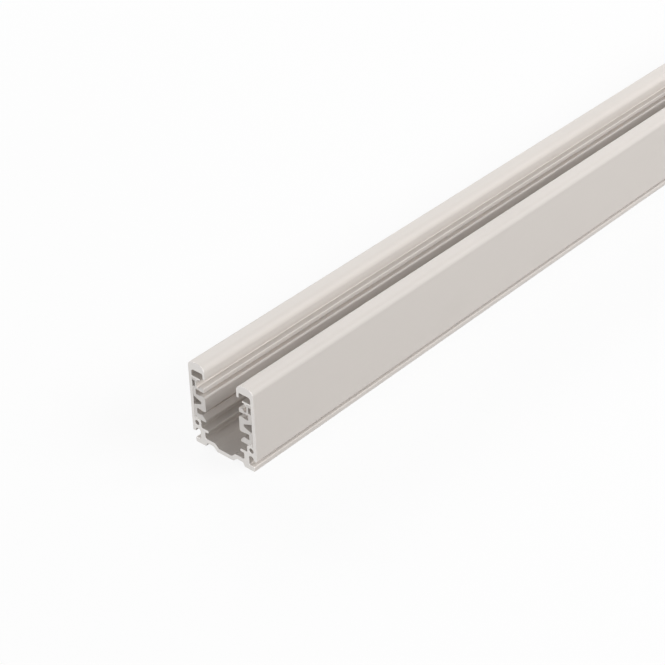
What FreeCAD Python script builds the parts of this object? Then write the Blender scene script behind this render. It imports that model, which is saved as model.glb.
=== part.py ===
import FreeCAD, Part
import math
import os

# A length of three-phase lighting track: an extruded aluminium channel with a lipped slot along its top,
# an insulating strip slid in behind each lip, and two copper conductors in each strip.
# The track lies on its back with the slot up. X runs along the track, Y across it and Z up from its back,
# and the origin is under its middle. Sizes are in millimetres.

# Overall sizes
LENGTH = 1000.0
WIDTH = 32.0
HEIGHT = 36.0

# Lips either side of the slot that an adaptor goes in through
SLOT_WIDTH = 15.6
LIP_PLATE = 3.5
LIP_OUTER_RADIUS = 2.4
LIP_INNER_RADIUS = 3.0
LIP_LEG = 1.1
LIP_LEG_DEPTH = 5.8
LIP_HOLLOW_RADIUS = 0.6
LIP_ROOT_RADIUS = 1.2

# Side walls, and the hooked rib under each lip that holds the top of a strip
WALL = 1.5
RIB = 0.8
RIB_DEPTH = 6.3
RIB_HOOK = 0.6
RIB_HOOK_DROP = 0.9
RIB_OVERHANG = 1.3

# Screw port in each side wall, in a boss whose top carries the strip and the key that locates it
PORT_DIAMETER = 2.0
PORT_HEIGHT = 9.0
PORT_INSET = 2.4
PORT_WALL = 1.1
BOSS_RADIUS = 1.3
KEY_WIDTH = 0.7
KEY_HEIGHT = 0.9

# Floor of the channel: a ledge that overhangs a leg each side, a shelf, and a trough along the middle
LEDGE_HEIGHT = 7.6
LEDGE = 1.2
LEDGE_INSET = 8.0
LEG_INSET = 6.2
WEB = 1.8
SHELF_RISE = 1.7
SHELF_CORNER_RADIUS = 0.8
TROUGH_WIDTH = 6.6
TROUGH_SLOPE = math.radians(45.0)
TROUGH_RADIUS = 1.0

# Clip groove along the foot of each side
GROOVE_INSET = 3.8
GROOVE_RADIUS = 0.9
WALL_EDGE_HEIGHT = 4.8
TOE = 2.2
TOE_INSET = 1.2
FOOT_FLARE = 0.8

# Fixing holes through the trough
FIXING_HOLE_DIAMETER = 5.0
FIXING_HOLE_INSET = 100.0

# Insulating strips
STRIP_CLEARANCE = 0.1
STRIP_BACK = 1.4
STRIP_ARM = 0.85
STRIP_TAIL = 0.8
TAIL_STANDOFF = 1.2
NOSE_SETBACK = 0.6
NOSE_CHAMFER = 0.5
BEAD_GAP = 1.5
BEAD_HEIGHT = 0.9
TIP_SETBACK = 0.3
FLARE_LAND = 0.6
HOLLOW_HEIGHT = 3.8
HOLLOW_TIP_HEIGHT = 1.0
HOLLOW_TIP_SETBACK = 2.2

# Conductors, each snapped into a pocket whose mouth is narrower than the bar
CONDUCTOR_WIDTH = 1.9
CONDUCTOR_HEIGHT = 2.2
CONDUCTOR_RADIUS = 0.4
CONDUCTOR_CLEARANCE = 0.05
CONDUCTOR_SETBACK = 6.0
POCKET_MOUTH = 1.8
LOWER_CONDUCTOR_RISE = 3.7
CONDUCTOR_PITCH = 8.5

# Small radii that an extrusion die leaves on metal and on plastic edges
METAL_EDGE = 0.5
FINE_METAL_EDGE = 0.2
PLASTIC_EDGE = 0.4
FINE_PLASTIC_EDGE = 0.2

# Places worked out from the sizes above. A depth is measured inwards from a side's outer face.
lip_depth = (WIDTH - SLOT_WIDTH) / 2
rib_top = HEIGHT - RIB_DEPTH
rib_underside = rib_top - RIB
boss_top = PORT_HEIGHT + PORT_DIAMETER / 2 + PORT_WALL
boss_depth = PORT_INSET + PORT_DIAMETER / 2 + PORT_WALL
ledge_underside = LEDGE_HEIGHT - LEDGE
strip_depth = WALL + STRIP_CLEARANCE
strip_top = rib_underside - STRIP_CLEARANCE
tail_depth = strip_depth + TAIL_STANDOFF
tail_front = tail_depth + STRIP_TAIL
pocket_depth = strip_depth + STRIP_BACK
pocket_front = pocket_depth + CONDUCTOR_WIDTH + 2 * CONDUCTOR_CLEARANCE
pocket_half = CONDUCTOR_HEIGHT / 2 + CONDUCTOR_CLEARANCE
mouth_half = POCKET_MOUTH / 2
lower_level = boss_top + LOWER_CONDUCTOR_RISE
upper_level = lower_level + CONDUCTOR_PITCH
nose_depth = lip_depth - NOSE_SETBACK


def section_point(y, z, x):
    """Returns a point of a cross-section at a place along the track."""
    return FreeCAD.Vector(x, y, z)


def tangent_lengths(corners):
    """Returns how far each corner's arc reaches along its two sides, kept within the sides it shares."""
    count = len(corners)
    reaches = []
    sides = []
    for i, (y, z, radius) in enumerate(corners):
        here = FreeCAD.Vector(0, y, z)
        before = FreeCAD.Vector(0, *corners[i - 1][:2]) - here
        after = FreeCAD.Vector(0, *corners[(i + 1) % count][:2]) - here
        reaches.append(radius / math.tan(before.getAngle(after) / 2))
        sides.append(after.Length)
    shares = []
    for i in range(count):
        wanted = reaches[i] + reaches[(i + 1) % count]
        shares.append(min(1.0, sides[i] / wanted) if wanted else 1.0)
    return [reach * min(shares[i - 1], shares[i]) for i, reach in enumerate(reaches)]


def rounded_wire(corners, x):
    """Closes straight sides and tangent arcs into a wire, from corners given as across, up and radius."""
    reaches = tangent_lengths(corners)
    count = len(corners)
    arcs = []
    for i, (y, z, _) in enumerate(corners):
        here = section_point(y, z, x)
        before = (section_point(*corners[i - 1][:2], x) - here).normalize()
        after = (section_point(*corners[(i + 1) % count][:2], x) - here).normalize()
        half_angle = before.getAngle(after) / 2
        bisector = (before + after).normalize()
        radius = reaches[i] * math.tan(half_angle)
        middle = here + bisector * (radius / math.sin(half_angle) - radius)
        arcs.append((here + before * reaches[i], middle, here + after * reaches[i]))
    edges = []
    for i, (start, middle, end) in enumerate(arcs):
        if reaches[i]:
            edges.append(Part.Arc(start, middle, end).toShape())
        following = arcs[(i + 1) % count][0]
        if not end.isEqual(following, 1e-6):
            edges.append(Part.LineSegment(end, following).toShape())
    return Part.Wire(edges)


def on_side(corners, side):
    """Places corners given by depth on one side of the track, 1 for the left and -1 for the right."""
    return [(side * (WIDTH / 2 - depth), z, radius) for depth, z, radius in corners]


def foot_and_groove():
    """Underside from the trough outwards, round the toe and through the clip groove to the wall's edge."""
    bend = WEB * math.tan(TROUGH_SLOPE / 2)
    trough_edge = (WIDTH - TROUGH_WIDTH) / 2 - bend
    run = SHELF_RISE / math.tan(TROUGH_SLOPE)
    return [
        (trough_edge, 0.0, TROUGH_RADIUS),
        (trough_edge - run, SHELF_RISE, TROUGH_RADIUS),
        (LEG_INSET + FOOT_FLARE, SHELF_RISE, METAL_EDGE),
        (LEG_INSET, 0.0, METAL_EDGE),
        (TOE_INSET, 0.0, METAL_EDGE),
        (TOE_INSET, TOE, METAL_EDGE),
        (GROOVE_INSET, TOE, METAL_EDGE),
        (GROOVE_INSET, ledge_underside, GROOVE_RADIUS),
        (WALL, ledge_underside, GROOVE_RADIUS),
        (WALL, WALL_EDGE_HEIGHT, METAL_EDGE),
        (0.0, WALL_EDGE_HEIGHT, METAL_EDGE),
    ]


def lip_and_rib():
    """Over the lip, round its leg, through the hollow behind it and round the hooked rib."""
    hollow_top = HEIGHT - LIP_PLATE
    leg_end = HEIGHT - LIP_LEG_DEPTH
    leg_back = lip_depth - LIP_LEG
    hook_back = tail_front + STRIP_CLEARANCE
    hook_front = hook_back + RIB_HOOK
    hook_end = rib_underside - RIB_HOOK_DROP
    rib_front = hook_front + RIB_OVERHANG
    return [
        (0.0, HEIGHT, LIP_OUTER_RADIUS),
        (lip_depth, HEIGHT, LIP_INNER_RADIUS),
        (lip_depth, leg_end, METAL_EDGE),
        (leg_back, leg_end, METAL_EDGE),
        (leg_back, hollow_top, LIP_HOLLOW_RADIUS),
        (WALL, hollow_top, LIP_ROOT_RADIUS),
        (WALL, rib_top, FINE_METAL_EDGE),
        (rib_front, rib_top, FINE_METAL_EDGE),
        (rib_front, rib_underside, FINE_METAL_EDGE),
        (hook_front, rib_underside, FINE_METAL_EDGE),
        (hook_front, hook_end, FINE_METAL_EDGE),
        (hook_back, hook_end, FINE_METAL_EDGE),
        (hook_back, rib_underside, 0.0),
        (WALL, rib_underside, 0.0),
    ]


def boss_and_floor():
    """Down the wall to the boss and its key, round the ledge, then over the shelf to the trough."""
    key_near = PORT_INSET - KEY_WIDTH / 2
    key_far = PORT_INSET + KEY_WIDTH / 2
    key_top = boss_top + KEY_HEIGHT
    trough_edge = (WIDTH - TROUGH_WIDTH) / 2
    run = SHELF_RISE / math.tan(TROUGH_SLOPE)
    shelf_top = WEB + SHELF_RISE
    return [
        (WALL, boss_top, 0.0),
        (key_near, boss_top, 0.0),
        (key_near, key_top, FINE_METAL_EDGE),
        (key_far, key_top, FINE_METAL_EDGE),
        (key_far, boss_top, 0.0),
        (boss_depth, boss_top, BOSS_RADIUS),
        (boss_depth, LEDGE_HEIGHT, METAL_EDGE),
        (LEDGE_INSET, LEDGE_HEIGHT, METAL_EDGE),
        (LEDGE_INSET, ledge_underside, METAL_EDGE),
        (LEG_INSET, ledge_underside, METAL_EDGE),
        (LEG_INSET, shelf_top, SHELF_CORNER_RADIUS),
        (trough_edge - run, shelf_top, TROUGH_RADIUS),
        (trough_edge, WEB, TROUGH_RADIUS),
    ]


def track_profile():
    """The extruded channel, sawn square, with its screw ports and drilled fixing holes."""
    x = -LENGTH / 2
    half = foot_and_groove() + lip_and_rib() + boss_and_floor()
    wires = [rounded_wire(on_side(half, 1) + on_side(half, -1)[::-1], x)]
    for side in (1, -1):
        centre = section_point(side * (WIDTH / 2 - PORT_INSET), PORT_HEIGHT, x)
        port = Part.Circle(centre, FreeCAD.Vector(1, 0, 0), PORT_DIAMETER / 2)
        wires.append(Part.Wire(port.toShape()))
    channel = Part.Face(wires).extrude(FreeCAD.Vector(LENGTH, 0, 0))
    for end in (1, -1):
        foot = FreeCAD.Vector(end * (LENGTH / 2 - FIXING_HOLE_INSET), 0, -WEB)
        drill = Part.makeCylinder(FIXING_HOLE_DIAMETER / 2, 3 * WEB, foot)
        channel = channel.cut(drill)
    return channel


def pocket(level):
    """A conductor's pocket and its narrower mouth, from the mouth's lower edge round to its upper edge."""
    return [
        (pocket_front, level - mouth_half, FINE_PLASTIC_EDGE),
        (pocket_front, level - pocket_half, 0.0),
        (pocket_depth, level - pocket_half, FINE_PLASTIC_EDGE),
        (pocket_depth, level + pocket_half, FINE_PLASTIC_EDGE),
        (pocket_front, level + pocket_half, 0.0),
        (pocket_front, level + mouth_half, FINE_PLASTIC_EDGE),
    ]


def key_groove():
    """The groove under a strip that drops over the boss's key."""
    half_width = KEY_WIDTH / 2 + STRIP_CLEARANCE
    roof = boss_top + KEY_HEIGHT + STRIP_CLEARANCE
    return [
        (PORT_INSET - half_width, boss_top, 0.0),
        (PORT_INSET - half_width, roof, FINE_PLASTIC_EDGE),
        (PORT_INSET + half_width, roof, FINE_PLASTIC_EDGE),
        (PORT_INSET + half_width, boss_top, 0.0),
    ]


def strip_nose():
    """The face between a strip's two mouths, chamfered into each of them."""
    return [
        (nose_depth - NOSE_CHAMFER, lower_level + mouth_half, FINE_PLASTIC_EDGE),
        (nose_depth, lower_level + mouth_half + NOSE_CHAMFER, PLASTIC_EDGE),
        (nose_depth, upper_level - mouth_half - NOSE_CHAMFER, PLASTIC_EDGE),
        (nose_depth - NOSE_CHAMFER, upper_level - mouth_half, FINE_PLASTIC_EDGE),
    ]


def upper_arm_and_tail():
    """The arm over the upper conductor, the bead from its tip to a gap, and the tail behind the rib's hook."""
    tip = nose_depth - TIP_SETBACK
    bead_back = tail_front + BEAD_GAP
    arm_top = upper_level + pocket_half + STRIP_ARM
    bead_top = arm_top + BEAD_HEIGHT
    return [
        (tip, upper_level + mouth_half, FINE_PLASTIC_EDGE),
        (tip, bead_top, PLASTIC_EDGE),
        (bead_back, bead_top, PLASTIC_EDGE),
        (bead_back, arm_top, PLASTIC_EDGE),
        (tail_front, arm_top, PLASTIC_EDGE),
        (tail_front, strip_top, FINE_PLASTIC_EDGE),
        (strip_depth, strip_top, FINE_PLASTIC_EDGE),
        (strip_depth, strip_top - STRIP_TAIL, 0.0),
        (tail_depth, strip_top - STRIP_TAIL, FINE_PLASTIC_EDGE),
        (tail_depth, arm_top, PLASTIC_EDGE),
        (strip_depth, arm_top, 0.0),
    ]


def strip_hollow():
    """The hollow in a strip's back, tapering in from the wall towards the nose."""
    middle = (lower_level + upper_level) / 2
    tip = nose_depth - HOLLOW_TIP_SETBACK
    return [
        (strip_depth, middle + HOLLOW_HEIGHT / 2, FINE_PLASTIC_EDGE),
        (tip, middle + HOLLOW_TIP_HEIGHT / 2, PLASTIC_EDGE),
        (tip, middle - HOLLOW_TIP_HEIGHT / 2, PLASTIC_EDGE),
        (strip_depth, middle - HOLLOW_HEIGHT / 2, FINE_PLASTIC_EDGE),
    ]


def insulating_strip(side):
    """An extruded strip that stands on the boss, keyed to it, and hooks behind the rib."""
    tip = nose_depth - TIP_SETBACK
    corners = [(strip_depth, boss_top, 0.0)] + key_groove()
    corners += [
        (tip, boss_top, PLASTIC_EDGE),
        (tip, boss_top + STRIP_ARM, PLASTIC_EDGE),
        (pocket_front + FLARE_LAND, lower_level - mouth_half, PLASTIC_EDGE),
    ]
    corners += pocket(lower_level) + strip_nose() + pocket(upper_level)
    corners += upper_arm_and_tail() + strip_hollow()
    section = Part.Face(rounded_wire(on_side(corners, side), -LENGTH / 2))
    return section.extrude(FreeCAD.Vector(LENGTH, 0, 0))


def conductor(side, level):
    """A bar lying on the floor of its pocket, stopped short of the sawn ends."""
    near = pocket_depth + CONDUCTOR_CLEARANCE
    far = near + CONDUCTOR_WIDTH
    floor = level - pocket_half
    corners = [
        (near, floor, CONDUCTOR_RADIUS),
        (far, floor, CONDUCTOR_RADIUS),
        (far, floor + CONDUCTOR_HEIGHT, CONDUCTOR_RADIUS),
        (near, floor + CONDUCTOR_HEIGHT, CONDUCTOR_RADIUS),
    ]
    section = Part.Face(rounded_wire(on_side(corners, side), CONDUCTOR_SETBACK - LENGTH / 2))
    return section.extrude(FreeCAD.Vector(LENGTH - 2 * CONDUCTOR_SETBACK, 0, 0))


pieces = {
    "track_profile": track_profile(),
    "insulating_strip_left": insulating_strip(1),
    "insulating_strip_right": insulating_strip(-1),
    "conductor_phase_1": conductor(-1, upper_level),
    "conductor_phase_2": conductor(-1, lower_level),
    "conductor_phase_3": conductor(1, upper_level),
    "conductor_neutral": conductor(1, lower_level),
}

os.makedirs("parts", exist_ok=True)
for name, shape in pieces.items():
    shape.exportStep(f"parts/{name}.step")
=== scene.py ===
import math

import bpy
from bpy.props import FloatProperty, FloatVectorProperty, PointerProperty
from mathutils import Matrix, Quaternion, Vector


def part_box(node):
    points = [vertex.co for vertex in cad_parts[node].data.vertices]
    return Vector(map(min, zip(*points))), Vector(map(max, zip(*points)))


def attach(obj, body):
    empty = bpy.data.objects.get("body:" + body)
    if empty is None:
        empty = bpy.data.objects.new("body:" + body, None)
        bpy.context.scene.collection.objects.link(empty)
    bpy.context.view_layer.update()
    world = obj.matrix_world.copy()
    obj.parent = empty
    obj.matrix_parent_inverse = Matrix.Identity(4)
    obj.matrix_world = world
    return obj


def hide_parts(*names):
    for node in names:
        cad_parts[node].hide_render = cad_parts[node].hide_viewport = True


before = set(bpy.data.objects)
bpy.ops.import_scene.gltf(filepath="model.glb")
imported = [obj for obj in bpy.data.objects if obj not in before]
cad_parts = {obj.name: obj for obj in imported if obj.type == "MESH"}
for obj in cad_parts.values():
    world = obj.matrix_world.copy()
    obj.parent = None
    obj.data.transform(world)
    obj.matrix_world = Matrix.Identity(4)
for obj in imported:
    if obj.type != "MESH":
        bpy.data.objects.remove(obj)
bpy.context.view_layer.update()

bl_info = {
    "name": "Three-phase lighting track",
    "version": (1, 0, 0),
    "blender": (4, 5, 0),
    "location": "3D View > Sidebar > Track",
    "description": "Makes a coated track channel, its strips and conductors, and a studio for them",
    "category": "Object",
}

MM = 0.001
BODY = "root"
LEFT = 1
RIGHT = -1
WHITE = (1.0, 1.0, 1.0, 1.0)

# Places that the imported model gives
channel_low, channel_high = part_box("track_profile")
LENGTH = channel_high.x - channel_low.x
HALF_WIDTH = (channel_high.y - channel_low.y) / 2
HEIGHT = channel_high.z

# How the pieces are made
TREE_NAME = "Extruded length"
ARC_STEP = 0.1 * MM
ARC_DETAIL = 4.0
DRILL_SIDES = 64
MERGE_DISTANCE = 0.001 * MM
SHARP_ANGLE = math.radians(34.0)
FLAT_FACE_WEIGHT = 100

# Marks that a saw leaves on a cut end
SAW_BLADE_RADIUS = 160.0 * MM
SAW_LINE_PITCH = 0.42 * MM

# The camera's sensor in millimetres, and the rest of the studio in metres and watts
SENSOR_WIDTH = 36.0
NEAREST_SEEN = 0.01
FARTHEST_SEEN = 100.0
FLOOR_REACH = 8.0
SOFTBOXES = (
    {"name": "right_softbox", "place": (0.4, -1.34, 1.08), "aim": (-0.3, 0.0, 0.02),
     "width": 1.4, "height": 0.7, "power": 26.0},
    {"name": "left_softbox", "place": (0.4, 1.48, 0.88), "aim": (-0.3, 0.0, 0.02),
     "width": 1.4, "height": 0.5, "power": 16.5},
    {"name": "near_end_softbox", "place": (-2.2, -0.25, 0.5), "aim": (-0.5, 0.0, 0.02),
     "width": 1.6, "height": 0.9, "power": 12.5},
    {"name": "far_end_softbox", "place": (2.2, 0.25, 0.5), "aim": (0.5, 0.0, 0.02),
     "width": 1.6, "height": 0.9, "power": 8.5},
)


def size(label, about, millimetres):
    """A length that a user may change, given in millimetres and kept in metres."""
    return FloatProperty(name=label, description=about, default=millimetres * MM, unit="LENGTH",
                         precision=5)


def angle(label, about, degrees):
    """An angle that a user may change, given in degrees and kept in radians."""
    return FloatProperty(name=label, description=about, default=math.radians(degrees), subtype="ANGLE")


def point(label, about, metres):
    """A place that a user may change."""
    return FloatVectorProperty(name=label, description=about, default=metres, subtype="TRANSLATION",
                               unit="LENGTH")


def colour(label, about, value):
    """A linear colour that a user may change."""
    return FloatVectorProperty(name=label, description=about, default=value, subtype="COLOR", size=3,
                               min=0, max=1)


class ChannelSizes(bpy.types.PropertyGroup):
    """Section of the extruded channel, its screw ports and its drilled holes."""

    slot_width: size("Slot width", "Gap between the two lips", 15.6)
    lip_plate: size("Lip plate", "Thickness of a lip's top", 3.5)
    lip_outer_radius: size("Lip outer radius", "Rounding where a lip meets its wall", 2.4)
    lip_inner_radius: size("Lip inner radius", "Rounding where a lip turns down into the slot", 3.0)
    lip_leg: size("Lip leg", "Thickness of a lip's leg", 1.1)
    lip_leg_depth: size("Lip leg depth", "How far a leg reaches below the lip's top", 5.8)
    lip_hollow_radius: size("Lip hollow radius", "Rounding of the hollow behind a lip's leg", 0.6)
    lip_root_radius: size("Lip root radius", "Rounding of the hollow where the lip meets its wall", 1.2)
    wall: size("Wall", "Thickness of a side wall", 1.5)
    rib: size("Rib", "Thickness of the rib that holds a strip's top", 0.8)
    rib_depth: size("Rib depth", "Rib's top below the lip's top", 6.3)
    rib_hook: size("Rib hook", "Thickness of the rib's hook", 0.6)
    rib_hook_drop: size("Rib hook drop", "How far the hook hangs below its rib", 0.9)
    rib_overhang: size("Rib overhang", "How far the rib reaches past its hook", 1.3)
    port_diameter: size("Port diameter", "Bore of a screw port", 2.0)
    port_height: size("Port height", "Screw port's centre above the back", 9.0)
    port_inset: size("Port inset", "Screw port's centre from the outer face", 2.4)
    port_wall: size("Port wall", "Metal round a screw port", 1.1)
    boss_radius: size("Boss radius", "Rounding of a port's boss", 1.3)
    key_width: size("Key width", "Width of the key under a strip", 0.7)
    key_height: size("Key height", "Height of the key under a strip", 0.9)
    ledge_height: size("Ledge height", "Ledge's top above the back", 7.6)
    ledge: size("Ledge", "Thickness of a ledge", 1.2)
    ledge_inset: size("Ledge inset", "Ledge's tip from the outer face", 8.0)
    leg_inset: size("Leg inset", "Leg's inner face from the outer face", 6.2)
    web: size("Web", "Thickness of the floor", 1.8)
    shelf_rise: size("Shelf rise", "Shelf above the trough", 1.7)
    shelf_corner_radius: size("Shelf corner radius", "Rounding where a leg meets the shelf", 0.8)
    trough_width: size("Trough width", "Flat width of the trough", 6.6)
    trough_slope: angle("Trough slope", "Slope of the trough's sides", 45.0)
    trough_radius: size("Trough radius", "Rounding of the trough's bends", 1.0)
    groove_inset: size("Groove inset", "Clip groove's back from the outer face", 3.8)
    groove_radius: size("Groove radius", "Rounding of the clip groove's roof", 0.9)
    wall_edge_height: size("Wall edge height", "Lower edge of a side wall above the back", 4.8)
    toe: size("Toe", "Height of a toe", 2.2)
    toe_inset: size("Toe inset", "Toe's face from the outer face", 1.2)
    foot_flare: size("Foot flare", "Slope of a foot's inner side", 0.8)
    fixing_hole_diameter: size("Fixing hole diameter", "Holes drilled through the trough", 5.0)
    fixing_hole_inset: size("Fixing hole inset", "Fixing hole's centre from an end", 100.0)
    edge: size("Edge", "Rounding that the die leaves on an edge", 0.5)
    fine_edge: size("Fine edge", "Rounding that the die leaves on a thin edge", 0.2)
    end_break: size("End break", "Chamfer that deburring leaves at a sawn end", 0.12)


class StripSizes(bpy.types.PropertyGroup):
    """Section of an insulating strip."""

    clearance: size("Clearance", "Room between a strip and the channel", 0.1)
    back: size("Back", "Plastic behind a conductor", 1.4)
    arm: size("Arm", "Thickness of the arms beside a conductor", 0.85)
    tail: size("Tail", "Thickness of the tail that hooks behind the rib", 0.8)
    tail_standoff: size("Tail standoff", "Room between the tail and the wall", 1.2)
    nose_setback: size("Nose setback", "How far the nose stands behind the lip's leg", 0.6)
    nose_chamfer: size("Nose chamfer", "Chamfer from the nose into a mouth", 0.5)
    bead_gap: size("Bead gap", "Gap between the tail and the bead on the upper arm", 1.5)
    bead_height: size("Bead height", "Height of the bead on the upper arm", 0.9)
    tip_setback: size("Tip setback", "Arms' tips behind the nose", 0.3)
    flare_land: size("Flare land", "Flat beside the lower pocket before the arm slopes down", 0.6)
    hollow_height: size("Hollow height", "Hollow in the back, at the wall", 3.8)
    hollow_tip_height: size("Hollow tip height", "Hollow in the back, at its tip", 1.0)
    hollow_tip_setback: size("Hollow tip setback", "Hollow's tip behind the nose", 2.2)
    pocket_mouth: size("Pocket mouth", "Height of a pocket's mouth", 1.8)
    pocket_clearance: size("Pocket clearance", "Room round a conductor in its pocket", 0.05)
    edge: size("Edge", "Rounding that the die leaves on an edge", 0.4)
    fine_edge: size("Fine edge", "Rounding that the die leaves on a thin edge", 0.2)
    end_break: size("End break", "Chamfer that the saw leaves at a cut end", 0.08)


class ConductorSizes(bpy.types.PropertyGroup):
    """Section of a conductor, apart from its width and height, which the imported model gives."""

    corner_radius: size("Corner radius", "Rounding of a bar's edges", 0.4)
    end_break: size("End break", "Chamfer at a bar's ends", 0.15)


class FinishColours(bpy.types.PropertyGroup):
    """Colours of the finishes."""

    coat: colour("Powder coat", "Warm off-white of the coated channel", (0.745, 0.70, 0.66))
    sawn_metal: colour("Sawn metal", "Bare aluminium at the sawn ends", (0.68, 0.66, 0.64))
    plastic: colour("Plastic", "Insulating strips", (0.77, 0.725, 0.685))
    # The sawn face's paler colour is partly the whiter look of sawn plastic and partly a painted highlight
    # where the cut ends catch the light
    sawn_plastic_and_highlight: colour("Sawn plastic", "Paler face of a strip where it was sawn", (0.92, 0.885, 0.85))
    copper: colour("Copper", "Clean copper of the conductors", (0.72, 0.43, 0.30))
    tarnish: colour("Tarnish", "Dulled copper of the conductors", (0.46, 0.27, 0.19))
    floor: colour("Floor", "Floor that the track lies on, as the camera sees it", (0.92, 0.92, 0.92))
    floor_bounce: colour("Floor bounce", "Floor as it lights the track", (0.28, 0.275, 0.27))


class StudioSettings(bpy.types.PropertyGroup):
    """Camera and light."""

    camera_place: point("Camera place", "Where the camera stands", (-0.8754, -0.3954, 0.4159))
    camera_aim: point("Camera aim", "Point at the middle of the picture", (-0.4343, 0.0050, 0.0180))
    camera_roll: angle("Camera roll", "Turn of the camera about its line of sight", -1.85)
    camera_lens: FloatProperty(name="Camera lens", description="Focal length on a 36 mm sensor",
                               default=101.6, unit="CAMERA")
    sky_strength: FloatProperty(name="Sky strength", description="Level of the even light from all round",
                                default=0.26, min=0)
    floor_white: FloatProperty(name="Floor white", description="Share of the floor that shows as white",
                               default=0.9, min=0, max=1, subtype="FACTOR")


class Link:
    """An output socket of a node tree, whose arithmetic adds Math nodes to the tree."""

    def __init__(self, graph, socket):
        self.graph = graph
        self.socket = socket

    def output(self, name):
        """Another output of the same node."""
        return Link(self.graph, self.socket.node.outputs[name])

    def __add__(self, other):
        return self.graph.maths("ADD", self, other)

    def __radd__(self, other):
        return self.graph.maths("ADD", other, self)

    def __sub__(self, other):
        return self.graph.maths("SUBTRACT", self, other)

    def __rsub__(self, other):
        return self.graph.maths("SUBTRACT", other, self)

    def __mul__(self, other):
        return self.graph.maths("MULTIPLY", self, other)

    def __rmul__(self, other):
        return self.graph.maths("MULTIPLY", other, self)

    def __truediv__(self, other):
        return self.graph.maths("DIVIDE", self, other)

    def __rtruediv__(self, other):
        return self.graph.maths("DIVIDE", other, self)

    def __pow__(self, other):
        return self.graph.maths("POWER", self, other)


class Graph:
    """A node tree, to which every node is added by one method."""

    def __init__(self, tree):
        self.tree = tree

    def node(self, kind, settings=None, inputs=None, output=0):
        """Adds a node, makes its settings, sets or links its sockets, and returns one of its outputs."""
        made = self.tree.nodes.new(kind)
        for name, value in (settings or {}).items():
            setattr(made, name, value)
        for key, value in (inputs or {}).items():
            if isinstance(value, Link):
                self.tree.links.new(value.socket, made.inputs[key])
            else:
                made.inputs[key].default_value = value
        return Link(self, made.outputs[output]) if made.outputs else None

    def maths(self, operation, *values):
        """A Math node on values or links."""
        return self.node("ShaderNodeMath", {"operation": operation}, dict(enumerate(values)))

    def vector_maths(self, operation, inputs):
        """A Vector Math node."""
        return self.node("ShaderNodeVectorMath", {"operation": operation}, inputs)


class Finish(Graph):
    """A material's node tree, with the textures that the finishes share."""

    def __init__(self, name):
        self.material = bpy.data.materials.new(name)
        self.material.use_nodes = True
        super().__init__(self.material.node_tree)
        self.tree.nodes.clear()
        self.place = self.node("ShaderNodeTexCoord", output="Object")
        parts = self.node("ShaderNodeSeparateXYZ", inputs={0: self.place})
        self.along = parts
        self.across = parts.output("Y")
        self.up = parts.output("Z")

    def noise(self, scale, detail=2.0, stretch=(1.0, 1.0, 1.0)):
        """Smooth noise from 0 to 1, with a size in waves per metre and a stretch for each axis."""
        place = self.node("ShaderNodeMapping", inputs={"Vector": self.place, "Scale": stretch})
        return self.node("ShaderNodeTexNoise", inputs={"Vector": place, "Scale": scale, "Detail": detail})

    def ramp(self, value, low, high):
        """0 below low, 1 above high and smooth between them."""
        return self.node("ShaderNodeMapRange", {"interpolation_type": "SMOOTHSTEP"},
                         {"Value": value, "From Min": low, "From Max": high, "To Min": 0.0, "To Max": 1.0})

    def mix(self, factor, first, second):
        """One colour faded into another."""
        inputs = {0: factor, 6: first, 7: second}
        return self.node("ShaderNodeMix", {"data_type": "RGBA"}, inputs, output=2)

    def tint(self, shade, value):
        """A colour scaled by a value."""
        grey = self.node("ShaderNodeCombineXYZ", inputs={0: value, 1: value, 2: value})
        return self.node("ShaderNodeMix", {"data_type": "RGBA", "blend_type": "MULTIPLY"},
                         {0: 1.0, 6: shade, 7: grey}, output=2)

    def bump(self, height, distance, strength):
        """A surface normal from a height between 0 and 1 that stands for a distance in metres."""
        inputs = {"Height": height, "Distance": distance, "Strength": strength}
        return self.node("ShaderNodeBump", inputs=inputs)

    def surface(self, **sockets):
        """Ends the material in a Principled shader."""
        inputs = {name.replace("_", " ").title(): value for name, value in sockets.items()}
        shader = self.node("ShaderNodeBsdfPrincipled", inputs=inputs)
        self.node("ShaderNodeOutputMaterial", inputs={"Surface": shader})
        return self.material


def opaque(value):
    """A colour property as the four numbers that a colour socket takes."""
    return (*value, 1.0)


def saw_lines(finish):
    """Arcs that a saw blade leaves on a cut end, from 0 to 1."""
    waver = finish.noise(90.0) * (3.0 * SAW_LINE_PITCH)
    blade_across = finish.across + 0.4 * SAW_BLADE_RADIUS
    blade_up = finish.up + SAW_BLADE_RADIUS
    from_centre = finish.maths("SQRT", blade_across ** 2.0 + blade_up ** 2.0)
    wave = finish.maths("SINE", (from_centre + waver) * (2.0 * math.pi / SAW_LINE_PITCH))
    return wave * 0.5 + 0.5


def end_mask(finish, reach):
    """1 at the sawn ends, falling to 0 over a reach in metres."""
    from_end = LENGTH / 2 - finish.maths("ABSOLUTE", finish.along)
    return 1.0 - finish.ramp(from_end, 0.0, reach)


def powder_coat(colours):
    """Satin off-white powder coat with orange peel, faint die lines and chips at the sawn edge."""
    relief = 0.02 * MM
    chip_reach = 0.9 * MM
    finish = Finish("satin_white_coat")
    cloud = finish.noise(26.0, detail=3.0)
    peel = finish.noise(1500.0)
    grain = finish.noise(5200.0, detail=1.0)
    die_lines = finish.noise(1.0, stretch=(4.0, 2600.0, 2600.0))
    handling = finish.ramp(finish.noise(60.0, detail=4.0, stretch=(0.5, 1.0, 1.0)), 0.52, 0.75)
    chips = finish.ramp(end_mask(finish, chip_reach) * finish.noise(2400.0, detail=3.0), 0.46, 0.52)
    shade = 0.985 + cloud * 0.03 + die_lines * 0.012 - handling * 0.02
    coat = finish.tint(opaque(colours.coat), shade)
    height = peel * 0.7 + grain * 0.2 + die_lines * 0.25
    return finish.surface(
        base_color=finish.mix(chips, coat, opaque(colours.sawn_metal)),
        roughness=0.57 + cloud * 0.06 + grain * 0.06 + handling * 0.06,
        metallic=chips,
        normal=finish.bump(height, relief, 0.6),
    )


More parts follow.
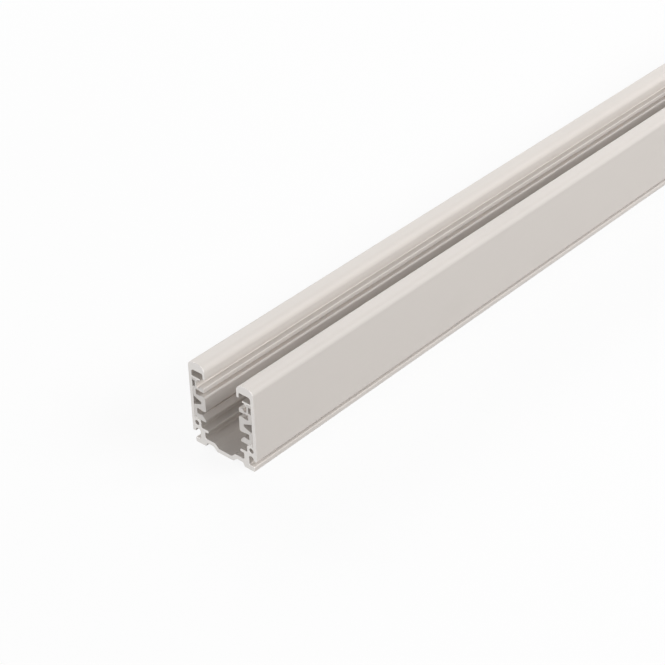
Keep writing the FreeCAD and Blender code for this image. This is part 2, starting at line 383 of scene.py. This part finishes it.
def sawn_aluminium(colours):
    """Bare aluminium as a fine saw leaves it."""
    relief = 0.03 * MM
    finish = Finish("sawn_aluminium")
    lines = saw_lines(finish)
    scratches = finish.noise(1.0, stretch=(1.0, 900.0, 6200.0))
    patches = finish.noise(240.0, detail=3.0)
    shade = 0.86 + lines * 0.08 + scratches * 0.10 + patches * 0.06
    return finish.surface(
        base_color=finish.tint(opaque(colours.sawn_metal), shade),
        roughness=0.5 + scratches * 0.14 + patches * 0.08,
        metallic=1.0,
        normal=finish.bump(lines * 0.6 + scratches * 0.4, relief, 0.7),
    )


def insulating_plastic(colours):
    """Extruded off-white plastic with flow lines along it, and a duller sawn face whose paleness is partly
    real and partly a painted highlight.
    """
    relief = 0.02 * MM
    cut_reach = 0.15 * MM
    finish = Finish("extruded_plastic")
    flow = finish.noise(1.0, detail=3.0, stretch=(3.0, 1300.0, 1300.0))
    cloud = finish.noise(34.0)
    grain = finish.noise(3600.0)
    cut = end_mask(finish, cut_reach)
    lines = saw_lines(finish)
    shade = 0.96 + flow * 0.03 + cloud * 0.05 + cut * (lines * 0.05)
    height = flow * 0.5 + grain * 0.15 + cut * (lines * 0.6 + grain)
    # Painted highlight: the sawn face is made paler than the strip's skin, partly for the light that falls
    # on the cut ends
    tone_and_highlight = finish.mix(cut, opaque(colours.plastic), opaque(colours.sawn_plastic_and_highlight))
    return finish.surface(
        base_color=finish.tint(tone_and_highlight, shade),
        roughness=0.46 + flow * 0.08 + cloud * 0.05 + cut * 0.15,
        normal=finish.bump(height, relief, 0.6),
    )


def drawn_copper(colours):
    """Drawn copper bar, dulled in patches."""
    relief = 0.012 * MM
    finish = Finish("drawn_copper")
    draw_lines = finish.noise(1.0, stretch=(6.0, 5200.0, 5200.0))
    patches = finish.ramp(finish.noise(70.0, detail=4.0, stretch=(0.6, 1.0, 1.0)), 0.38, 0.7)
    spots = finish.ramp(finish.noise(520.0, detail=3.0), 0.6, 0.72)
    dull = patches * 0.6 + spots * 0.3
    return finish.surface(
        base_color=finish.mix(dull, opaque(colours.copper), opaque(colours.tarnish)),
        roughness=0.26 + draw_lines * 0.12 + dull * 0.22,
        metallic=1.0,
        normal=finish.bump(draw_lines, relief, 0.6),
    )


def studio_floor(colours, share_of_white):
    """Pale floor that takes the track's shadow: mostly white to the camera, and all white far off."""
    white_from = 0.75
    white_at = 2.2
    foot_inset = 2.0 * MM
    lit_reach = 4.0 * MM
    shade_reach = 20.0 * MM
    finish = Finish("studio_floor")
    seen = seen_directly(finish)
    beside = finish.maths("ABSOLUTE", finish.across)
    ahead = finish.maths("ABSOLUTE", finish.along)
    # The floor under the track isn't whitened, apart from a painted pool of light a little way in at each
    # end, where light spills under it
    under = finish.maths("LESS_THAN", beside, HALF_WIDTH - foot_inset)
    covered = under * finish.ramp(LENGTH / 2 - ahead, lit_reach, shade_reach)
    distance = finish.maths("SQRT", beside ** 2.0 + ahead ** 2.0)
    share = share_of_white + finish.ramp(distance, white_from, white_at) * (1.0 - share_of_white)
    whitened = seen * share * (1.0 - covered)
    paint = finish.mix(seen, opaque(colours.floor_bounce), opaque(colours.floor))
    speckled = finish.tint(paint, 0.99 + finish.noise(9.0) * 0.02)
    matt = finish.node("ShaderNodeBsdfPrincipled", inputs={
        "Base Color": speckled, "Roughness": 1.0, "Specular IOR Level": 0.0,
    })
    white = finish.node("ShaderNodeEmission", inputs={"Color": WHITE, "Strength": 1.0})
    shader = finish.node("ShaderNodeMixShader", inputs={0: whitened, 1: matt, 2: white})
    finish.node("ShaderNodeOutputMaterial", inputs={"Surface": shader})
    return finish.material


def seen_directly(graph):
    """1 for what the camera sees, also in a reflection or through glass, and 0 for light on the object."""
    path = graph.node("ShaderNodeLightPath", output="Is Camera Ray")
    shown = path + path.output("Is Glossy Ray") + path.output("Is Transmission Ray")
    return graph.maths("MINIMUM", shown, 1.0)


def on_side(corners, side):
    """Corners given as depth from the outer face, height and radius, placed on one side of the track."""
    return [(side * (HALF_WIDTH - depth), up, radius) for depth, up, radius in corners]


def channel_places(channel):
    """Places in the channel's section that the strips share."""
    return {
        "lip_depth": HALF_WIDTH - channel.slot_width / 2,
        "rib_top": HEIGHT - channel.rib_depth,
        "rib_underside": HEIGHT - channel.rib_depth - channel.rib,
        "boss_top": channel.port_height + channel.port_diameter / 2 + channel.port_wall,
        "boss_depth": channel.port_inset + channel.port_diameter / 2 + channel.port_wall,
        "ledge_underside": channel.ledge_height - channel.ledge,
    }


def foot_and_groove(channel):
    """Underside from the trough outwards, round the toe and through the clip groove to the wall's edge."""
    roof = channel_places(channel)["ledge_underside"]
    trough_edge = HALF_WIDTH - channel.trough_width / 2 - channel.web * math.tan(channel.trough_slope / 2)
    run = channel.shelf_rise / math.tan(channel.trough_slope)
    return [
        (trough_edge, 0.0, channel.trough_radius),
        (trough_edge - run, channel.shelf_rise, channel.trough_radius),
        (channel.leg_inset + channel.foot_flare, channel.shelf_rise, channel.edge),
        (channel.leg_inset, 0.0, channel.edge),
        (channel.toe_inset, 0.0, channel.edge),
        (channel.toe_inset, channel.toe, channel.edge),
        (channel.groove_inset, channel.toe, channel.edge),
        (channel.groove_inset, roof, channel.groove_radius),
        (channel.wall, roof, channel.groove_radius),
        (channel.wall, channel.wall_edge_height, channel.edge),
        (0.0, channel.wall_edge_height, channel.edge),
    ]


def lip_and_rib(channel, strip):
    """Over the lip, round its leg, through the hollow behind it and round the hooked rib."""
    places = channel_places(channel)
    lip_depth = places["lip_depth"]
    hollow_top = HEIGHT - channel.lip_plate
    leg_end = HEIGHT - channel.lip_leg_depth
    leg_back = lip_depth - channel.lip_leg
    hook_back = channel.wall + strip.clearance + strip.tail_standoff + strip.tail + strip.clearance
    hook_front = hook_back + channel.rib_hook
    hook_end = places["rib_underside"] - channel.rib_hook_drop
    rib_front = hook_front + channel.rib_overhang
    return [
        (0.0, HEIGHT, channel.lip_outer_radius),
        (lip_depth, HEIGHT, channel.lip_inner_radius),
        (lip_depth, leg_end, channel.edge),
        (leg_back, leg_end, channel.edge),
        (leg_back, hollow_top, channel.lip_hollow_radius),
        (channel.wall, hollow_top, channel.lip_root_radius),
        (channel.wall, places["rib_top"], channel.fine_edge),
        (rib_front, places["rib_top"], channel.fine_edge),
        (rib_front, places["rib_underside"], channel.fine_edge),
        (hook_front, places["rib_underside"], channel.fine_edge),
        (hook_front, hook_end, channel.fine_edge),
        (hook_back, hook_end, channel.fine_edge),
        (hook_back, places["rib_underside"], 0.0),
        (channel.wall, places["rib_underside"], 0.0),
    ]


def boss_and_floor(channel):
    """Down the wall to the boss and its key, round the ledge, then over the shelf to the trough."""
    places = channel_places(channel)
    boss_top = places["boss_top"]
    key_near = channel.port_inset - channel.key_width / 2
    key_far = channel.port_inset + channel.key_width / 2
    key_top = boss_top + channel.key_height
    trough_edge = HALF_WIDTH - channel.trough_width / 2
    run = channel.shelf_rise / math.tan(channel.trough_slope)
    shelf_top = channel.web + channel.shelf_rise
    return [
        (channel.wall, boss_top, 0.0),
        (key_near, boss_top, 0.0),
        (key_near, key_top, channel.fine_edge),
        (key_far, key_top, channel.fine_edge),
        (key_far, boss_top, 0.0),
        (places["boss_depth"], boss_top, channel.boss_radius),
        (places["boss_depth"], channel.ledge_height, channel.edge),
        (channel.ledge_inset, channel.ledge_height, channel.edge),
        (channel.ledge_inset, places["ledge_underside"], channel.edge),
        (channel.leg_inset, places["ledge_underside"], channel.edge),
        (channel.leg_inset, shelf_top, channel.shelf_corner_radius),
        (trough_edge - run, shelf_top, channel.trough_radius),
        (trough_edge, channel.web, channel.trough_radius),
    ]


def screw_port(channel, side):
    """A port's bore: four corners rounded by half their distance, drawn clockwise because it is a hole."""
    radius = channel.port_diameter / 2
    corners = [
        (channel.port_inset - radius, channel.port_height - radius, radius),
        (channel.port_inset + radius, channel.port_height - radius, radius),
        (channel.port_inset + radius, channel.port_height + radius, radius),
        (channel.port_inset - radius, channel.port_height + radius, radius),
    ]
    return turned(on_side(corners, side), -1)


def channel_section(channel, strip):
    """The channel's outline and the bores of its two screw ports."""
    half = foot_and_groove(channel) + lip_and_rib(channel, strip) + boss_and_floor(channel)
    outline = on_side(half, LEFT) + on_side(half, RIGHT)[::-1]
    return [turned(outline, 1), screw_port(channel, LEFT), screw_port(channel, RIGHT)]


def pocket(strip, near, far, low, high, level):
    """A conductor's pocket and its narrower mouth, from the mouth's lower edge round to its upper edge."""
    mouth = strip.pocket_mouth / 2
    return [
        (far, level - mouth, strip.fine_edge),
        (far, low, 0.0),
        (near, low, strip.fine_edge),
        (near, high, strip.fine_edge),
        (far, high, 0.0),
        (far, level + mouth, strip.fine_edge),
    ]


def strip_section(channel, strip, side, lower_bar, upper_bar):
    """A strip that stands keyed on the boss and hooks behind the rib, with a pocket for each bar."""
    places = channel_places(channel)
    boss_top = places["boss_top"]
    back = channel.wall + strip.clearance
    top = places["rib_underside"] - strip.clearance
    nose = places["lip_depth"] - strip.nose_setback
    tip = nose - strip.tip_setback
    tail_back = back + strip.tail_standoff
    tail_front = tail_back + strip.tail
    bead_back = tail_front + strip.bead_gap
    pocket_near = back + strip.back
    pocket_far = pocket_near + (lower_bar[1].y - lower_bar[0].y) + 2 * strip.pocket_clearance
    mouth = strip.pocket_mouth / 2
    pockets = []
    for low, high in (lower_bar, upper_bar):
        roof = high.z + 2 * strip.pocket_clearance
        pockets.append((low.z, roof, (low.z + roof) / 2))
    lower, upper = pockets
    key_half = channel.key_width / 2 + strip.clearance
    key_roof = boss_top + channel.key_height + strip.clearance
    arm_top = upper[1] + strip.arm
    bead_top = arm_top + strip.bead_height
    middle = (lower[2] + upper[2]) / 2
    hollow_tip = nose - strip.hollow_tip_setback
    corners = [
        (back, boss_top, 0.0),
        (channel.port_inset - key_half, boss_top, 0.0),
        (channel.port_inset - key_half, key_roof, strip.fine_edge),
        (channel.port_inset + key_half, key_roof, strip.fine_edge),
        (channel.port_inset + key_half, boss_top, 0.0),
        (tip, boss_top, strip.edge),
        (tip, boss_top + strip.arm, strip.edge),
        (pocket_far + strip.flare_land, lower[2] - mouth, strip.edge),
    ]
    corners += pocket(strip, pocket_near, pocket_far, *lower)
    corners += [
        (nose - strip.nose_chamfer, lower[2] + mouth, strip.fine_edge),
        (nose, lower[2] + mouth + strip.nose_chamfer, strip.edge),
        (nose, upper[2] - mouth - strip.nose_chamfer, strip.edge),
        (nose - strip.nose_chamfer, upper[2] - mouth, strip.fine_edge),
    ]
    corners += pocket(strip, pocket_near, pocket_far, *upper)
    corners += [
        (tip, upper[2] + mouth, strip.fine_edge),
        (tip, bead_top, strip.edge),
        (bead_back, bead_top, strip.edge),
        (bead_back, arm_top, strip.edge),
        (tail_front, arm_top, strip.edge),
        (tail_front, top, strip.fine_edge),
        (back, top, strip.fine_edge),
        (back, top - strip.tail, 0.0),
        (tail_back, top - strip.tail, strip.fine_edge),
        (tail_back, arm_top, strip.edge),
        (back, arm_top, 0.0),
        (back, middle + strip.hollow_height / 2, strip.fine_edge),
        (hollow_tip, middle + strip.hollow_tip_height / 2, strip.edge),
        (hollow_tip, middle - strip.hollow_tip_height / 2, strip.edge),
        (back, middle - strip.hollow_height / 2, strip.fine_edge),
    ]
    return [turned(on_side(corners, side), 1)]


def bar_section(bar, low, high):
    """A conductor's section with its four edges rounded."""
    corners = [
        (low.y, low.z, bar.corner_radius),
        (high.y, low.z, bar.corner_radius),
        (high.y, high.z, bar.corner_radius),
        (low.y, high.z, bar.corner_radius),
    ]
    return [turned(corners, 1)]


def turned(corners, direction):
    """Corners in order round their loop, anticlockwise for a direction of 1 and clockwise for -1."""
    following = corners[1:] + corners[:1]
    area = sum(a[0] * b[1] - a[1] * b[0] for a, b in zip(corners, following))
    return corners if area * direction > 0 else corners[::-1]


def section_curve(name, loops):
    """A flat curve with each corner's rounding kept as its point's radius."""
    curve = bpy.data.curves.new(name, "CURVE")
    curve.dimensions = "2D"
    curve.fill_mode = "NONE"
    for loop in loops:
        spline = curve.splines.new("POLY")
        spline.points.add(len(loop) - 1)
        for corner, (across, up, radius) in zip(spline.points, loop):
            corner.co = (across, up, 0.0, 1.0)
            corner.radius = radius
        spline.use_cyclic_u = True
    made = bpy.data.objects.new(name, curve)
    bpy.context.scene.collection.objects.link(made)
    return made


def add_inputs(tree, sockets):
    """Gives a tree its named inputs, and its one geometry output."""
    for name, kind in sockets.items():
        tree.interface.new_socket(name, in_out="INPUT", socket_type=kind)
    tree.interface.new_socket("Geometry", in_out="OUTPUT", socket_type="NodeSocketGeometry")


def rounded_section(graph, given):
    """The section with each corner rounded by its point's radius, in more steps where that is larger."""
    radius = graph.node("GeometryNodeInputRadius")
    steps = graph.maths("CEIL", (radius / given.output("Arc step")) ** 0.5)
    return graph.node("GeometryNodeFilletCurve", {"mode": "POLY"}, {
        "Curve": given, "Count": steps * ARC_DETAIL + 1.0, "Radius": radius, "Limit Radius": True,
    })


def keep_place(graph, geometry, name):
    """The geometry with each point's place kept under a name, and the field that reads it."""
    kept = graph.node("GeometryNodeStoreNamedAttribute", {"data_type": "FLOAT_VECTOR"}, {
        "Geometry": geometry, "Name": name, "Value": graph.node("GeometryNodeInputPosition"),
    })
    field = graph.node("GeometryNodeInputNamedAttribute", {"data_type": "FLOAT_VECTOR"}, {"Name": name})
    return kept, field


def inset_section(graph, section, end_break):
    """The section drawn in by the chamfer at an end, with both places of each point kept."""
    kept, outline = keep_place(graph, section, "outline")
    tangent = graph.node("GeometryNodeInputTangent")
    outward = graph.vector_maths("CROSS_PRODUCT", {0: tangent, 1: (0, 0, 1)})
    inwards = graph.vector_maths("SCALE", {0: outward, "Scale": end_break * -1.0})
    drawn_in = graph.node("GeometryNodeSetPosition", inputs={"Geometry": kept, "Offset": inwards})
    inset, inner = keep_place(graph, drawn_in, "inset")
    return inset, outline, inner


def chamfered_walls(graph, section, levels):
    """Walls that rise from the section through each level's outline and height."""
    walls = graph.node("GeometryNodeCurveToMesh", inputs={"Curve": section})
    newest = True
    for flat, height in levels:
        extruded = graph.node("GeometryNodeExtrudeMesh", {"mode": "EDGES"}, {
            "Mesh": walls, "Selection": newest, "Offset": (0, 0, 1), "Offset Scale": 1.0,
        })
        newest = extruded.output("Top")
        lift = graph.node("ShaderNodeCombineXYZ", inputs={2: height})
        raised = graph.vector_maths("ADD", {0: flat, 1: lift})
        walls = graph.node("GeometryNodeSetPosition", inputs={
            "Geometry": extruded, "Selection": newest, "Position": raised,
        })
    # The extruded faces look inwards until they are flipped
    return graph.node("GeometryNodeFlipFaces", inputs={"Mesh": walls})


def closed_length(graph, section, walls, length):
    """The walls closed by a cap at each end."""
    cap = graph.node("GeometryNodeFillCurve", {"mode": "TRIANGLES"}, {"Curve": section})
    near_cap = graph.node("GeometryNodeFlipFaces", inputs={"Mesh": cap})
    far_place = graph.node("ShaderNodeCombineXYZ", inputs={2: length})
    far_cap = graph.node("GeometryNodeTransform", inputs={"Geometry": cap, "Translation": far_place})
    joined = graph.node("GeometryNodeJoinGeometry")
    for shell in (far_cap, near_cap, walls):
        graph.tree.links.new(shell.socket, joined.socket.node.inputs[0])
    return graph.node("GeometryNodeMergeByDistance",
                      inputs={"Geometry": joined, "Distance": MERGE_DISTANCE})


def drilled_length(graph, given, laid):
    """The length with two holes drilled through it, where a hole's diameter is given."""
    diameter = given.output("Hole diameter")
    spacing = given.output("Hole spacing")
    first_hole = graph.node("ShaderNodeCombineXYZ", inputs={0: spacing * -0.5})
    next_hole = graph.node("ShaderNodeCombineXYZ", inputs={0: spacing})
    holes = graph.node("GeometryNodeMeshLine", {"mode": "OFFSET"},
                       {"Count": 2, "Start Location": first_hole, "Offset": next_hole})
    drill = graph.node("GeometryNodeMeshCylinder", inputs={
        "Vertices": DRILL_SIDES, "Radius": diameter * 0.5, "Depth": given.output("Hole depth"),
    })
    placed = graph.node("GeometryNodeInstanceOnPoints", inputs={"Points": holes, "Instance": drill})
    drills = graph.node("GeometryNodeRealizeInstances", inputs={"Geometry": placed})
    drilled = graph.node("GeometryNodeMeshBoolean", {"operation": "DIFFERENCE", "solver": "EXACT"},
                         {"Mesh 1": laid, "Mesh 2": drills})
    wants_holes = graph.node("FunctionNodeCompare", {"operation": "GREATER_THAN"},
                             {"A": diameter, "B": 0.0})
    return graph.node("GeometryNodeSwitch", {"input_type": "GEOMETRY"},
                      {"Switch": wants_holes, "False": laid, "True": drilled})


def cut_faces(graph, given):
    """1 on the faces that a saw or a drill has cut: both ends and the holes' walls."""
    mostly = 0.5
    # A hole's wall is just inside this share of the hole's diameter from its axis
    hole_reach = 0.51
    facing = graph.node("ShaderNodeSeparateXYZ", inputs={0: graph.node("GeometryNodeInputNormal")})
    place = graph.node("ShaderNodeSeparateXYZ", inputs={0: graph.node("GeometryNodeInputPosition")})
    at_end = graph.maths("GREATER_THAN", graph.maths("ABSOLUTE", facing), mostly)
    upright = graph.maths("LESS_THAN", graph.maths("ABSOLUTE", facing.output("Z")), mostly)
    from_hole = graph.maths("ABSOLUTE", place) - given.output("Hole spacing") * 0.5
    from_axis = (from_hole ** 2.0 + place.output("Y") ** 2.0) ** 0.5
    in_hole = graph.maths("LESS_THAN", from_axis, given.output("Hole diameter") * hole_reach)
    return at_end + upright * in_hole


def extrusion_tree():
    """Rounds a flat section's corners, extrudes it along the track with chamfered ends, and drills it."""
    tree = bpy.data.node_groups.new(TREE_NAME, "GeometryNodeTree")
    add_inputs(tree, {
        "Section": "NodeSocketGeometry",
        "Start": "NodeSocketFloat",
        "Length": "NodeSocketFloat",
        "End break": "NodeSocketFloat",
        "Arc step": "NodeSocketFloat",
        "Hole diameter": "NodeSocketFloat",
        "Hole spacing": "NodeSocketFloat",
        "Hole depth": "NodeSocketFloat",
        "Side finish": "NodeSocketMaterial",
        "End finish": "NodeSocketMaterial",
    })
    graph = Graph(tree)
    given = graph.node("NodeGroupInput")
    length = given.output("Length")
    end_break = given.output("End break")
    section, outline, inner = inset_section(graph, rounded_section(graph, given), end_break)
    levels = ((outline, end_break), (outline, length - end_break), (inner, length))
    closed = closed_length(graph, section, chamfered_walls(graph, section, levels), length)
    start = graph.node("ShaderNodeCombineXYZ", inputs={0: given.output("Start")})
    laid = graph.node("GeometryNodeTransform", inputs={
        "Geometry": closed, "Translation": start, "Rotation": (math.pi / 2, 0.0, math.pi / 2),
    })
    drilled = drilled_length(graph, given, laid)
    whole = graph.node("GeometryNodeRealizeInstances", inputs={"Geometry": drilled})
    sides = graph.node("GeometryNodeSetMaterial",
                       inputs={"Geometry": whole, "Material": given.output("Side finish")})
    ends = graph.node("GeometryNodeSetMaterial", inputs={
        "Geometry": sides, "Selection": cut_faces(graph, given), "Material": given.output("End finish"),
    })
    graph.node("NodeGroupOutput", inputs={"Geometry": ends})
    return tree


def shared_tree():
    """The one extrusion tree that every piece uses."""
    return bpy.data.node_groups.get(TREE_NAME) or extrusion_tree()


def run_along(node, end_break, side_finish, end_finish):
    """The tree's values for a piece that runs as far along the track as its CAD node."""
    low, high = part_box(node)
    return {
        "Start": low.x,
        "Length": high.x - low.x,
        "End break": end_break,
        "Arc step": ARC_STEP,
        "Side finish": side_finish,
        "End finish": end_finish,
    }


def extruded_piece(name, loops, values):
    """Runs the extrusion tree on a section and keeps the result as a plain mesh with even shading."""
    tree = shared_tree()
    drawn = section_curve(name + "_section", loops)
    modifier = drawn.modifiers.new(TREE_NAME, "NODES")
    modifier.node_group = tree
    for socket in tree.interface.items_tree:
        if socket.in_out == "INPUT" and socket.name in values:
            modifier[socket.identifier] = values[socket.name]
    graph = bpy.context.evaluated_depsgraph_get()
    mesh = bpy.data.meshes.new_from_object(drawn.evaluated_get(graph))
    bpy.data.objects.remove(drawn)
    if not mesh.polygons:
        raise RuntimeError(f"{name} came out empty")
    mesh.name = name
    for index in reversed(range(len(mesh.materials))):
        if mesh.materials[index] is None:
            mesh.materials.pop(index=index)
    for attribute in ("outline", "inset"):
        mesh.attributes.remove(mesh.attributes[attribute])
    mesh.shade_smooth()
    mesh.set_sharp_from_angle(angle=SHARP_ANGLE)
    piece = bpy.data.objects.new(name, mesh)
    bpy.context.scene.collection.objects.link(piece)
    even_out_normals(piece)
    return piece


def even_out_normals(piece):
    """Lets the large flat faces set the shading, so that they look flat beside their rounded edges."""
    weighted = piece.modifiers.new("Weighted normals", "WEIGHTED_NORMAL")
    weighted.keep_sharp = True
    weighted.weight = FLAT_FACE_WEIGHT
    graph = bpy.context.evaluated_depsgraph_get()
    mesh = bpy.data.meshes.new_from_object(piece.evaluated_get(graph))
    piece.modifiers.remove(weighted)
    mesh.name = piece.data.name
    piece.data = mesh


def settle(piece, node):
    """Puts a finished piece in place of its CAD node."""
    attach(piece, BODY)
    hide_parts(node)


class TRACK_OT_channel(bpy.types.Operator):
    """Make the coated channel with its sawn ends, screw ports and drilled holes"""

    bl_idname = "track.channel"
    bl_label = "Coated channel"

    def execute(self, context):
        scene = context.scene
        channel = scene.track_channel
        coat = powder_coat(scene.track_colours)
        bare = sawn_aluminium(scene.track_colours)
        values = run_along("track_profile", channel.end_break, coat, bare)
        values["Hole diameter"] = channel.fixing_hole_diameter
        values["Hole spacing"] = LENGTH - 2 * channel.fixing_hole_inset
        # The drill's middle is level with the back, so half its length has to pass the floor
        values["Hole depth"] = 4 * channel.web
        piece = extruded_piece("coated_channel", channel_section(channel, scene.track_strip), values)
        settle(piece, "track_profile")
        return {"FINISHED"}


class TRACK_OT_strips(bpy.types.Operator):
    """Make the two insulating strips"""

    bl_idname = "track.strips"
    bl_label = "Insulating strips"

    def execute(self, context):
        scene = context.scene
        strip = scene.track_strip
        plastic = insulating_plastic(scene.track_colours)
        lower_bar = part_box("conductor_neutral")
        upper_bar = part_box("conductor_phase_3")
        for side, word in ((LEFT, "left"), (RIGHT, "right")):
            node = f"insulating_strip_{word}"
            values = run_along(node, strip.end_break, plastic, plastic)
            loops = strip_section(scene.track_channel, strip, side, lower_bar, upper_bar)
            piece = extruded_piece(f"{word}_strip", loops, values)
            settle(piece, node)
        return {"FINISHED"}


class TRACK_OT_conductors(bpy.types.Operator):
    """Make the four copper conductors"""

    bl_idname = "track.conductors"
    bl_label = "Conductors"

    def execute(self, context):
        scene = context.scene
        bar = scene.track_conductor
        copper = drawn_copper(scene.track_colours)
        for word in ("phase_1", "phase_2", "phase_3", "neutral"):
            node = f"conductor_{word}"
            values = run_along(node, bar.end_break, copper, copper)
            piece = extruded_piece(f"{word}_bar", bar_section(bar, *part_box(node)), values)
            settle(piece, node)
        return {"FINISHED"}


def area_lamp(name, place, aim, width, height, power):
    """A soft box that faces a point."""
    lamp = bpy.data.lights.new(name, "AREA")
    lamp.shape = "RECTANGLE"
    lamp.size = width
    lamp.size_y = height
    lamp.energy = power
    made = bpy.data.objects.new(name, lamp)
    made.location = place
    made.rotation_mode = "QUATERNION"
    made.rotation_quaternion = (Vector(aim) - Vector(place)).to_track_quat("-Z", "Y")
    bpy.context.scene.collection.objects.link(made)


class TRACK_OT_studio(bpy.types.Operator):
    """Set up the floor, the light and the camera"""

    bl_idname = "track.studio"
    bl_label = "Studio"

    def execute(self, context):
        scene = context.scene
        studio = scene.track_studio
        self.lay_floor(scene, studio)
        self.light(scene, studio)
        self.place_camera(scene, studio)
        scene.view_settings.view_transform = "Standard"
        return {"FINISHED"}

    def lay_floor(self, scene, studio):
        """A wide pale floor under the track."""
        corners = [(x * FLOOR_REACH, y * FLOOR_REACH, 0.0) for x, y in ((-1, -1), (1, -1), (1, 1), (-1, 1))]
        mesh = bpy.data.meshes.new("studio_floor")
        mesh.from_pydata(corners, [], [(0, 1, 2, 3)])
        mesh.materials.append(studio_floor(scene.track_colours, studio.floor_white))
        floor = bpy.data.objects.new("studio_floor", mesh)
        scene.collection.objects.link(floor)

    def light(self, scene, studio):
        """Even light from all round, and soft boxes beside the track and before its ends."""
        world = bpy.data.worlds.new("studio_sky")
        world.use_nodes = True
        graph = Graph(world.node_tree)
        graph.tree.nodes.clear()
        shown = seen_directly(graph)
        strength = studio.sky_strength + shown * (1.0 - studio.sky_strength)
        sky = graph.node("ShaderNodeBackground", inputs={"Color": WHITE, "Strength": strength})
        graph.node("ShaderNodeOutputWorld", inputs={"Surface": sky})
        scene.world = world
        for softbox in SOFTBOXES:
            area_lamp(**softbox)

    def place_camera(self, scene, studio):
        """The camera at the photograph's viewpoint."""
        lens = bpy.data.cameras.new("photo_camera")
        lens.lens = studio.camera_lens
        lens.sensor_width = SENSOR_WIDTH
        lens.clip_start = NEAREST_SEEN
        lens.clip_end = FARTHEST_SEEN
        camera = bpy.data.objects.new("photo_camera", lens)
        place = Vector(studio.camera_place)
        sight = Vector(studio.camera_aim) - place
        camera.location = place
        camera.rotation_mode = "QUATERNION"
        roll = Quaternion((0.0, 0.0, 1.0), studio.camera_roll)
        camera.rotation_quaternion = sight.to_track_quat("-Z", "Y") @ roll
        scene.collection.objects.link(camera)
        scene.camera = camera


class TRACK_PT_panel(bpy.types.Panel):
    """Lists what the add-on makes, and the sizes and colours that it uses"""

    bl_idname = "TRACK_PT_panel"
    bl_label = "Lighting track"
    bl_space_type = "VIEW_3D"
    bl_region_type = "UI"
    bl_category = "Track"

    def draw(self, context):
        layout = self.layout
        for operator in OPERATORS:
            layout.operator(operator.bl_idname)
        for name in POINTERS:
            box = layout.box()
            group = getattr(context.scene, name)
            for prop in group.bl_rna.properties:
                if prop.identifier not in ("name", "rna_type"):
                    box.prop(group, prop.identifier)


OPERATORS = (TRACK_OT_channel, TRACK_OT_strips, TRACK_OT_conductors, TRACK_OT_studio)
POINTERS = {
    "track_channel": ChannelSizes,
    "track_strip": StripSizes,
    "track_conductor": ConductorSizes,
    "track_colours": FinishColours,
    "track_studio": StudioSettings,
}


def register():
    """Adds the classes, and the settings on the scene."""
    for group in POINTERS.values():
        bpy.utils.register_class(group)
    for operator in OPERATORS:
        bpy.utils.register_class(operator)
    bpy.utils.register_class(TRACK_PT_panel)
    for name, group in POINTERS.items():
        setattr(bpy.types.Scene, name, PointerProperty(type=group))


def unregister():
    """Takes the settings and the classes away again."""
    for name in POINTERS:
        delattr(bpy.types.Scene, name)
    bpy.utils.unregister_class(TRACK_PT_panel)
    for operator in reversed(OPERATORS):
        bpy.utils.unregister_class(operator)
    for group in reversed(POINTERS.values()):
        bpy.utils.unregister_class(group)


def main():
    """Makes the whole track and its studio."""
    register()
    bpy.ops.track.channel()
    bpy.ops.track.strips()
    bpy.ops.track.conductors()
    bpy.ops.track.studio()


if __name__ == "__main__":
    main()
